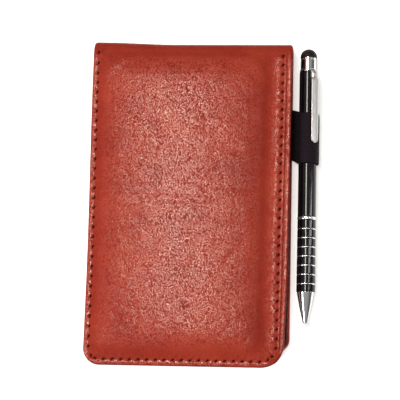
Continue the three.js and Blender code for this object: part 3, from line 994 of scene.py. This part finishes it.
def crown(x, y):
    """How padded the front is: 0 on its flat rim and nearly 1 in the middle."""
    rise = np.ones_like(x)
    for inside, ramp in (
        (x + HALF - SEAM_LEFT, 4.0),
        (HALF - SEAM_RIGHT - PAD_GAP_RIGHT - x, 3.5),
        (y - FRONT_END - SEAM_END - 0.5, 6.5),
        (CROWN_END - y, 6.0),
    ):
        rise *= np.tanh(np.maximum(inside, 0) / ramp) ** 1.3
    aside = (x - CROWN_CENTRE) / HALF
    return rise * (1 - CROWN_ARCH * aside**2)


def front_polish_and_painted_light(points):
    """Where the front is polished by wear and brightened by painted highlight: its padded middle,
    its rim and the sewn hem.

    The edge rolls over from there into a darker underside of painted shade.
    """
    x, y, z = points.T
    # Painted highlight: a soft band down the padded middle, strongest a little left of centre and
    # fading towards the free end.
    middle = smooth(crown(x, y), 0.05, 0.45) * (0.5 + 0.5 * ridge(x, PAINTED_HIGHLIGHT_CENTRE, PAINTED_HIGHLIGHT_REACH))
    middle *= smooth(y, FRONT_END + 4, FRONT_END + 11)
    # The rim outside the seams and the ridges beside the right-hand seam are lighter and shinier:
    # partly wear, partly painted highlight.
    rim = np.minimum(np.minimum(x + HALF, HALF - x), y - FRONT_END)
    mottled = 1.0 + 1.2 * layered_noise(x, y, 1.5, 91)
    edge = 1.9 * (1 - smooth(rim, SEAM_END - 0.6, SEAM_END - 0.1))
    past_seam = x - (HALF - SEAM_RIGHT)
    hem = ridge(past_seam, -HEM_INSIDE, 1.2) + 1.4 * ridge(past_seam, RIM_OUTSIDE, 0.4)
    worn = np.maximum(edge, hem * smooth(y, FRONT_END + 4, FRONT_END + 8)) * mottled
    polish_and_painted_light = np.maximum(middle, worn * smooth(56 - y, 0, 4))
    # Painted shade on the rolled edge's underside, stored as values below 0.
    painted_underside_shade = smooth(FRONT_RIM - z, 0.1, 0.6) * smooth(58 - y, 0, 2)
    return polish_and_painted_light * (1 - painted_underside_shade) - painted_underside_shade


def front_relief(x, y):
    """How far the front leather stands above the cover's flat rim."""
    padded = crown(x, y)
    relief = CROWN_HEIGHT * padded + puff(x, y)
    calm = smooth(padded, 0.0, 1.0)
    relief += 0.14 * layered_noise(x, y, 13, 3) * calm
    relief -= 0.1 * creases(x, y, 15, 64) * calm
    relief -= 0.08 * creases(x, y, 7, 86) * calm
    past_seam = x - (HALF - SEAM_RIGHT)
    hem = ridge(past_seam, -HEM_INSIDE, 1.3) * smooth(56 - y, 0, 6)
    hem *= smooth(y, FRONT_END + 6, FRONT_END + 11)
    relief += hem * (0.4 + 0.22 * layered_noise(x * 1.6, y, 3.6, 31))
    straight = smooth(y, FRONT_END + 5, FRONT_END + 8) * smooth(57 - y, 0, 5)
    rims = ridge(x, -HALF + LEFT_RIM, 0.42) + ridge(past_seam, RIM_OUTSIDE, 0.32)
    rims -= ridge(past_seam, VALLEY_OUTSIDE, 0.35)
    relief += RIM_HEIGHT * rims * straight
    relief += 0.2 * ridge(y, FRONT_END + END_RIM, 0.5) * smooth(HALF - np.abs(x), 5, 8)
    rng = np.random.default_rng(MARKS_SEED)
    relief += stitch_marks(x, y, seam_places, seam_headings, seam_slants, rng)
    return relief * smooth(58.6 - y, 0, 1.5)


def leather_section(station, fold, bend, up):
    """(y, z) and the inward direction along a cover's leather, from its free end to mid-spine.

    fold is the corner that a bend of that radius rounds off; up is 1 on the front cover and -1 on
    the rear one.
    """
    turn = math.pi / 2 - up * math.asin(-SPINE_UP[0])
    bend_from = fold[0] - bend * math.tan(turn / 2)
    if station <= bend_from:
        return np.array([station, fold[1]]), np.array([0.0, -up])
    angle = (station - bend_from) / bend
    centre = np.array([bend_from, fold[1] - up * bend])
    if angle <= turn:
        out = np.array([math.sin(angle), up * math.cos(angle)])
        return centre + out * bend, -out
    beyond = station - bend_from - turn * bend
    return centre - SPINE_IN * bend - up * SPINE_UP * beyond, SPINE_IN


front_section = partial(leather_section, fold=FRONT_FOLD, bend=FRONT_BEND, up=1)
rear_section = partial(leather_section, fold=REAR_FOLD, bend=REAR_BEND, up=-1)


def station_at_height(section, start, height, rising):
    """The station past the bend at which a section reaches a height on the spine."""
    station = start
    while (section(station)[0][1] < height) == rising:
        station += 0.02
    return station


def narrowed(points):
    """The front's right margin, outside its seam, gets narrower towards the free end."""
    points = np.array(points, float)
    past_seam = np.maximum(points[:, 0] - (HALF - SEAM_RIGHT), 0) / SEAM_RIGHT
    near_end = 1 - smooth(points[:, 1], FRONT_END + 10, FRONT_END + 34)
    points[:, 0] -= MARGIN_LOSS * past_seam * near_end
    return points


def settled(points):
    """Handling has pushed the fold's left end outwards, and rounded its corner."""
    points = np.array(points, float)
    x, y = points[:, 0], points[:, 1]
    to_left = smooth(-x, 5, HALF)
    near_fold = smooth(y, FOLD_TOP - 14, FOLD_TOP)
    round_off = np.clip(y - (FOLD_TOP - FOLD_CORNER), 0, FOLD_CORNER)
    points[:, 0] -= LEFT_FLARE * smooth(-x, 0, HALF) * smooth(y, -35, FOLD_TOP - 6)
    points[:, 0] += (FOLD_CORNER - np.sqrt(FOLD_CORNER**2 - round_off**2)) * smooth(-x, 30, HALF)
    points[:, 1] += FOLD_PUSH * (0.2 + 0.8 * to_left) * near_fold
    return points


def front_leather():
    """The front and spine leather in one piece, which bends at the front fold."""
    inner = HALF - EDGE_ROLL
    step_across, step_along, fine = FRONT_STEPS
    edges = [(-inner, -inner + 3), (inner - 6, inner)]
    columns = graded(-inner, inner, step_across, fine, edges)
    low = FRONT_END + EDGE_ROLL
    last = station_at_height(front_section, SEARCH_FROM, SPINE_MIDDLE, rising=False)
    rows = graded(low, last, step_along, fine, [(low, low + 3), (55, 64)])
    depth = lambda s: FRONT_RIM - FRONT_UNDER - (0.3 if s > 58 else 0.0)
    corners = (LEFT_CORNER - EDGE_ROLL, RIGHT_CORNER - EDGE_ROLL)
    points, faces = wrapped_sheet(
        columns, rows, front_section, corners, 2.0, depth, front_relief, facing=1
    )
    placed = settled(skewed(narrowed(points)))
    made = piece("front_cover_leather", placed, faces, front_leather_look)
    store_polish_and_painted_light(made, front_polish_and_painted_light(points))
    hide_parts("front_skin", "spine_skin")
    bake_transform(made)


def rear_leather():
    """The rear cover's leather, which bends at the rear fold."""
    inner = HALF - EDGE_ROLL
    step_across, step_along, fine = REAR_STEPS
    edges = [(-inner, -inner + 3), (inner - 3, inner)]
    columns = graded(-inner, inner, step_across, fine, edges)
    low = REAR_END + EDGE_ROLL
    last = station_at_height(rear_section, SEARCH_FROM, SPINE_MIDDLE, rising=True)
    rows = graded(low, last, step_along, fine, [(low, low + 3), (56, 70)])
    depth = lambda s: REAR_TOP if s < 57 else SPINE_DEPTH
    corners = (REAR_CUT - 0.7,) * 2
    points, faces = wrapped_sheet(
        columns, rows, rear_section, corners, 1.12, depth, rear_relief, facing=-1
    )
    made = piece("rear_cover_leather", settled(points), faces, rear_leather_look)
    store_polish_and_painted_light(made, 0.6 + 0.3 * layered_noise(points[:, 0], points[:, 1], 12, 93))
    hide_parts("rear_skin")
    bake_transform(made)


def rear_seam():
    """Places, headings and slants of the rear cover's stitches."""
    side = HALF - REAR_SEAM_INSET
    low = REAR_END + REAR_SEAM_INSET
    leg = REAR_CUT - CUT_LEG_LOSS * REAR_SEAM_INSET
    path = [(-side, SEAM_TOP), (-side, low + leg), (-side + leg, low)]
    path += [(side - leg, low), (side, low + leg), (side, SEAM_TOP)]
    place, heading = spaced(path, REAR_SEAM_PITCH)
    return place, heading, np.full(len(place), 0.4)


def rear_relief(x, y):
    """Inward dents of the flat rear leather: a sewn furrow and slight waviness."""
    side = HALF - np.abs(x)
    end = y - REAR_END
    cut = (side + end - REAR_CUT) / math.sqrt(2)
    from_edge = np.minimum(np.minimum(side, end), cut)
    furrow = -0.18 * ridge(from_edge, REAR_SEAM_INSET, 0.5)
    crease = 0.08 * ridge(from_edge, 1.3, 0.25)
    wave = -0.03 * (1 + layered_noise(x, y, 18, 12)) * smooth(from_edge, 2.5, 8)
    return (furrow + crease + wave - 0.06) * smooth(58 - y, 0, 2)


front_leather()
rear_leather()


def add_front_stitches():
    x, y = seam_places[:, 0], seam_places[:, 1]
    height = FRONT_RIM + front_relief(x, y) + 0.16
    points, faces = stitch_points(seam_places, seam_headings, seam_slants, height)
    made = piece("front_seam_stitches", settled(skewed(points)), faces, seam_look, "front_cover")
    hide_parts("front_seam_thread")


def add_rear_stitches():
    places, headings, slants = rear_seam()
    height = np.full(len(places), -0.12)
    points, faces = stitch_points(places, headings, slants, height, length=2.2, width=0.45)
    points[:, 2] *= -1
    faces = [face[::-1] for face in faces]
    made = piece("rear_seam_stitches", points, faces, trim_look, "rear_cover")
    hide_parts("rear_seam_thread")


add_front_stitches()
add_rear_stitches()

# ---------- linings, boards and pockets ----------


def add_front_padding():
    """The foam under the front leather, a little below it all over and rounded at its rim."""
    half = HALF - PAD_MARGIN
    base = node_box("front_padding")[0][2]
    columns = np.linspace(-half, half, 48)
    rows = np.linspace(FRONT_END + PAD_MARGIN, FRONT_HINGE_Y - PAD_MARGIN, 76)
    x, y = np.meshgrid(columns, rows)
    x, y = pull_corners(x, y, half, rows[0], (2.0, 2.0), 2.0)
    numbers = np.arange(x.size).reshape(x.shape)
    swell = FRONT_RIM + CROWN_HEIGHT * crown(x, y) + puff(x, y) * 0.8 - LEATHER - 0.5
    rim = np.minimum(np.minimum(half - np.abs(x), y - rows[0]), rows[-1] - y)
    swell = base + (np.maximum(swell, base + 0.3) - base) * np.sqrt(smooth(rim, -0.4, 2.5))
    top = np.stack([x, y, swell], 2).reshape(-1, 3)
    bottom = np.stack([x, y, np.full_like(x, base)], 2).reshape(-1, 3)
    faces = grid_faces(numbers) + [f[::-1] for f in grid_faces(numbers + x.size)]
    faces += band_faces(full_rim(numbers + x.size), full_rim(numbers), closed=True)
    placed = skewed(np.concatenate([top, bottom]))
    made = piece("foam_pad", placed, faces, foam_material, "front_cover")
    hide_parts("front_padding")


def add_trim(name, path, height, facing, body, skew=False):
    """A row of small stitches along a panel's edge."""
    places, headings = spaced(path, TRIM_PITCH)
    level = np.full(len(places), height)
    straight = np.zeros(len(places))
    points, faces = stitch_points(places, headings, straight, level, TRIM_LENGTH, TRIM_WIDTH)
    if facing < 0:
        points[:, 2] = 2 * height - points[:, 2]
        faces = [face[::-1] for face in faces]
    if skew:
        points = skewed(points)
    made = piece(name, points, faces, trim_look, body)


def cloth_panel(node, name, half, low, high, corner, body, wave, seed, power=2.0):
    """A cloth panel as thick as its CAD node; on the front cover it is skewed like the cover."""
    box_low, box_high = node_box(node)
    points, faces = slab(
        half, low, high, box_low[2], box_high[2], (corner, corner), power, wave=wave, seed=seed
    )
    if body == "front_cover":
        points = skewed(points)
    made = piece(name, points, faces, lining_look, body)
    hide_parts(node)


def add_front_inside():
    half, end, body = HALF - LINING_INSET, FRONT_END + LINING_INSET, "front_cover"
    corner = RIGHT_CORNER - LINING_INSET
    cloth_panel("front_lining", "front_lining_cloth", half, end, 57.0, corner, body, 0.03, 41)
    pockets = (
        ("large_pocket", -56.0, 42),
        ("card_slot_long", -32.0, 43),
        ("card_slot_short", -8.0, 44),
    )
    for node, mouth, seed in pockets:
        cloth_panel(node, node + "_cloth", POCKET_HALF, mouth, POCKET_TOP, 3.0, body, 0.04, seed)
        side, hem, top = POCKET_HALF - POCKET_HEM, mouth + POCKET_HEM, POCKET_TOP - 2
        path = [(-side, top), (-side, hem), (side, hem), (side, top)]
        height = node_box(node)[0][2] - TRIM_DEPTH
        add_trim(node + "_stitches", path, height, -1, body, skew=True)


def add_rear_inside():
    half, end, body = HALF - LINING_INSET, REAR_END + LINING_INSET, "rear_cover"
    leg = REAR_CUT - CUT_LEG_LOSS * LINING_INSET
    cloth_panel("rear_lining", "rear_lining_cloth", half, end, 58.4, leg, body, 0.02, 45, 1.1)
    low, high = node_box("pad_sleeve")
    half, end, mouth = high[0], low[1], high[1]
    cloth_panel("pad_sleeve", "pad_sleeve_cloth", half, end, mouth, 4.0, body, 0.05, 46)
    path = [(-half + 1.0, mouth - 1), (-half + 1.0, end + 4), (-half + 4, end + 1.0)]
    path += [(half - 4, end + 1.0), (half - 1.0, end + 4), (half - 1.0, mouth - 1)]
    add_trim("pad_sleeve_stitches", path, high[2] + TRIM_DEPTH, 1, body)


def assign(node, material):
    """Gives a carried-over CAD node its own material."""
    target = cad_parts[node]
    target.data.materials.clear()
    target.data.materials.append(material)


def add_boards():
    for node in ("rear_board", "front_board", "spine_board"):
        assign(node, board_look)
    assign("spine_lining", lining_look)
    assign("pad_card_back", card_back_look)


add_front_padding()
add_front_inside()
add_rear_inside()
add_boards()

# ---------- the pad of paper ----------


def add_block():
    """A stack of sheets, each a little out of line with the others."""
    low, high = node_box("paper_block")
    half = (high[0] - low[0]) / 2 - BLOCK_MARGIN
    rng = np.random.default_rng(BLOCK_SEED)
    pitch = (high[2] - low[2]) / BLOCK_SHEETS
    points, faces, used = [], [], 0
    for number in range(BLOCK_SHEETS):
        aside, along = rng.normal(0, SPREAD_ASIDE), rng.normal(0, SPREAD_ALONG)
        under, top = low[2] + number * pitch, low[2] + (number + SHEET_SHARE) * pitch
        part, part_faces = slab(
            half, low[1] + 0.1, high[1] - 0.1, under, top, (1.2, 1.2), step=12, edge=0.03
        )
        part[:, 0] += aside
        part[:, 1] += min(along, ALONG_CAP)
        faces += [tuple(np.array(face) + used) for face in part_faces]
        points.append(part)
        used += len(part)
    made = piece("paper_block_sheets", np.concatenate(points), faces, block_look, "rear_cover")
    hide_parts("paper_block")


def add_sheets():
    for number in (1, 2, 3):
        node = f"loose_sheet_{number}"
        low, high = node_box(node)
        size = (high[0], low[1], high[1], low[2], high[2])
        points, faces = slab(*size, (1.2, 1.2), step=2.5, edge=0.05, wave=0.06, seed=50 + number)
        made = piece(node + "_ruled", points, faces, sheet_look, f"sheet_{number}")
        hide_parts(node)


def add_tape():
    """The cloth that binds the sheets: over the pad's top edge and a little way down each face."""
    low, high = node_box("pad_binding_tape")
    bend_y, bend_z = high[1] - TAPE_BEND, high[2] - TAPE_BEND
    section = [(low[1], high[2]), (bend_y, high[2])]
    for angle in np.linspace(0.2, 1.57, 6):
        section.append((bend_y + TAPE_BEND * math.sin(angle), bend_z + TAPE_BEND * math.cos(angle)))
    section.append((high[1], low[2] + 0.1))
    outer = [np.array(section[0])]
    for a, b in zip(np.array(section), np.array(section[1:])):
        cuts = max(int(math.dist(a, b) / 0.8), 1)
        outer += [a + (b - a) * k / cuts for k in range(1, cuts + 1)]
    outer = np.array(outer)
    tangent = unit(np.gradient(outer, axis=0))
    inner = outer - np.stack([-tangent[:, 1], tangent[:, 0]], 1) * TAPE_THICK
    loop = np.concatenate([outer, inner[::-1]])
    columns = np.linspace(low[0], high[0], 60)
    points = [(x, y, z) for x in columns for y, z in loop]
    faces = swept_faces(len(columns), len(loop))
    made = piece("pad_binding_cloth", points, faces, tape_look, "rear_cover", smooth_faces=False)
    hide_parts("pad_binding_tape")


add_block()
add_sheets()
add_tape()

# ---------- the pen loop ----------


def add_loop():
    """A ribbed elastic band round the pen, its two ends sewn together at the cover's edge."""
    low, high = node_box("pen_loop")
    cx, cz = PEN_AXIS
    neck = low[0]  # where the band's two tails leave the cover
    path = [(neck, 2.8), (neck + 2, 2.8), (neck + 3.8, 2.72), (cx - 4.0, 2.35)]
    for angle in np.radians(np.linspace(222, 515, 44)):
        path.append((cx + LOOP_RADIUS * math.cos(angle), cz + LOOP_RADIUS * math.sin(angle)))
    path += [(cx - 4.55, 3.95), (neck + 3.4, 3.62), (neck + 2, 3.56), (neck, 3.56)]
    path = np.array(path)
    for _ in range(2):
        inner = path[1:-1] * 0.5 + (path[:-2] + path[2:]) * 0.25
        path = np.concatenate([path[:1], inner, path[-1:]])
    tangent = unit(np.gradient(path, axis=0))
    normal = np.stack([-tangent[:, 1], tangent[:, 0]], 1)
    width = high[1] - low[1]
    middle = (high[1] + low[1]) / 2
    across = np.linspace(-1, 1, LOOP_RIBS * 4 + 1)
    rounded_edge = (1 - np.abs(across) ** 18) ** 0.5
    bulge = LOOP_THICK / 2 * rounded_edge * (0.93 + 0.07 * np.cos(across * LOOP_RIBS * math.pi))
    ring = [*zip(across, bulge), *zip(across[-2:0:-1], -bulge[-2:0:-1])]
    points = []
    for (px, pz), (nx, nz) in zip(path, normal):
        slip = LOOP_SLIP * smooth(px, HALF, cx - 2)
        for a, b in ring:
            points.append((px + nx * b, middle - slip + a * width / 2, pz + nz * b))
    faces = swept_faces(len(path), len(ring), inside_out=True)
    made = piece("pen_loop_elastic", points, faces, band_look, "rear_cover")
    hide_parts("pen_loop")


add_loop()

# ---------- the pen ----------


def stations(node):
    """A pen node's two ends as distances down from the pen's top."""
    low, high = node_box(node)
    return PEN_TOP - high[1], PEN_TOP - low[1]


def add_dome():
    start, end = stations("pen_stylus_dome")
    radius = 3.25
    lip = end + 0.35
    profile = [(0.0, start)]
    for k in range(1, 13):
        angle = k / 12 * math.pi / 2
        profile.append((radius * math.sin(angle) ** 0.93, radius * (1 - math.cos(angle))))
    profile += [(radius, lip - 0.25), (radius - 0.12, lip), (3.1, lip), (3.1, end), (0.0, end)]
    made = lathe("stylus_dome_rubber", profile, dome_look, "pen_upper")
    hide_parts("pen_stylus_dome")


def add_collar():
    start, end = stations("pen_stylus_collar")
    radius = 3.12
    groove = radius - 0.16
    profile = [(0.0, start), (radius - 0.25, start), (radius, start + 0.25), (radius, start + 0.7)]
    profile += [(groove, start + 0.85), (groove, start + 1.05), (radius, start + 1.2)]
    profile += [(radius, end), (0.0, end)]
    made = lathe("stylus_collar_chrome", rounded(profile, 0.08), chrome_look, "pen_upper")
    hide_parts("pen_stylus_collar")


def tube(name, node, material, outer, bore, bevel=0.12, swell=0.0, drop=(0.0, 0.0)):
    """A hollow turned part of the upper pen, a little fatter in its middle where it swells."""
    start, end = np.array(stations(node)) + drop
    profile = [(bore, end), (bore, start), (outer, start), (outer + swell, (start + end) / 2)]
    profile += [(outer, end), (bore, end)]
    made = lathe(name, rounded(profile, bevel)[::-1], material, "pen_upper")
    made.data.flip_normals()
    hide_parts(node)


def add_grip():
    """The lower barrel: lacquer with cut grooves, each holding a bright ring."""
    start, end = stations("pen_lower_barrel")
    start += RING_DROP
    top_radius, low_radius, bore = 3.55, 3.65, 2.75
    slope = (low_radius - top_radius) / (end - start)
    radius_at = lambda s: top_radius + slope * (s - start)
    first, pitch, count, width, depth = 71.0 + RING_DROP, 3.54, 7, 0.7, 0.12
    outside = [(bore, start), (top_radius - 0.15, start), (top_radius, start + 0.15)]
    for k in range(count):
        a, b = first + k * pitch - width / 2, first + k * pitch + width / 2
        outside += [(radius_at(a), a), (radius_at(a) - depth, a + 0.05)]
        outside += [(radius_at(b) - depth, b - 0.05), (radius_at(b), b)]
    outside += [(low_radius, end - 0.12), (low_radius - 0.12, end), (bore, end), (bore, start)]
    made = lathe("pen_grip_lacquer", rounded(outside, 0.03, 2), black_look, "pen_lower")
    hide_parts("pen_lower_barrel")
    for k in range(count):
        middle = first + k * pitch
        outer = radius_at(middle) - 0.02
        inner = radius_at(middle) - depth - 0.05
        half = width / 2 - 0.12
        ring = [(inner, middle - half), (outer - 0.06, middle - half), (outer, middle - half * 0.4)]
        ring += [(outer, middle + half * 0.4), (outer - 0.06, middle + half)]
        ring.append((inner, middle + half))
        band = lathe(f"pen_grip_ring_{k + 1}", rounded(ring, 0.05, 2), ring_look, "pen_lower")


def add_nose():
    start, end = stations("pen_nose_cone")
    radius = 3.4
    profile = [(2.2, start), (radius - 0.1, start), (radius, start + 0.15)]
    for share in np.linspace(0.08, 1, 14):
        s = start + (end - 1.6 - start) * share
        profile.append((radius + (1.3 - radius) * share + 0.16 * math.sin(math.pi * share), s))
    profile += [(1.24, end - 1.2), (1.05, end - 0.35), (0.93, end), (0.8, end), (0.8, end - 1.0)]
    profile += [(1.4, start + 6.8), (2.0, start + 3.8), (2.2, start)]
    made = lathe("pen_nose_chrome", rounded(profile, 0.06, 2), chrome_look, "pen_lower")
    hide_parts("pen_nose_cone")


def add_clip():
    """A curved spring clip: a foot on the barrel, a shoulder, and a long arm with a round end."""
    start, end = stations("pen_clip")
    end += CLIP_REACH
    # Distances from the pen's axis: the foot's underside, the arm's underside and its outside.
    foot, inner, outer = 3.6, 4.85, 5.4
    foot_end, half_width = start + 3.0, 1.6
    count, around = 60, 20
    points = []
    up = np.array([math.sin(CLIP_TURN), math.cos(CLIP_TURN)])
    side = np.array([math.cos(CLIP_TURN), -math.sin(CLIP_TURN)])
    for s in np.linspace(start, end, count):
        low = foot + (inner - foot) * smooth(s, foot_end - 0.3, foot_end + 0.5)
        low += 0.06 * smooth(s, end - 4, end)
        high = outer - 0.5 * (1 - smooth(s, start - 0.2, start + 1.1))
        high -= 0.18 * smooth(s, end - 3, end)
        from_end = end - s
        wide = half_width * math.sqrt(max(1 - max(0, 1 - from_end / half_width) ** 2, 0.02))
        wide *= 1 - 0.06 * smooth(s, start + 3, end)
        for a in np.linspace(0, 2 * math.pi, around, endpoint=False):
            c, d = math.cos(a), math.sin(a)
            across = wide * np.sign(c) * abs(c) ** 0.55
            share = 0.5 + 0.5 * np.sign(d) * abs(d) ** 0.7
            radius = low + (high - low) * share
            drop = 0.42 * (across / half_width) ** 2 * (high - low) * 0.9 * share
            x, z = up * (radius - drop) + side * across
            points.append((PEN_AXIS[0] + x, PEN_TOP - s, PEN_AXIS[1] + z))
    faces = swept_faces(count, around)
    made = piece("pen_clip_steel", points, faces, satin_look, "pen_clip")
    split_edges(made, 50)
    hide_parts("pen_clip")


add_dome()
add_collar()
tube("pen_clip_ring_chrome", "pen_clip_ring", chrome_look, outer=3.4, bore=1.5)
tube(
    "pen_barrel_lacquer", "pen_upper_barrel", black_look,
    outer=3.52, bore=2.75, bevel=0.2, drop=(0, RING_DROP),
)
tube(
    "pen_centre_ring_chrome", "pen_centre_ring", ring_look,
    outer=3.6, bore=2.75, bevel=0.2, swell=0.05, drop=(RING_DROP, RING_DROP - 0.06),
)
add_grip()
add_nose()
add_clip()
assign("pen_twist_sleeve", brass_look)
assign("pen_refill_tip", brass_look)
assign("pen_return_spring", satin_look)
assign("pen_refill_tube", refill_look)

sizes = {
    "cad": [list(corner) for corner in cad_bounds],
    "visual": [list(corner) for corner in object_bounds()],
}
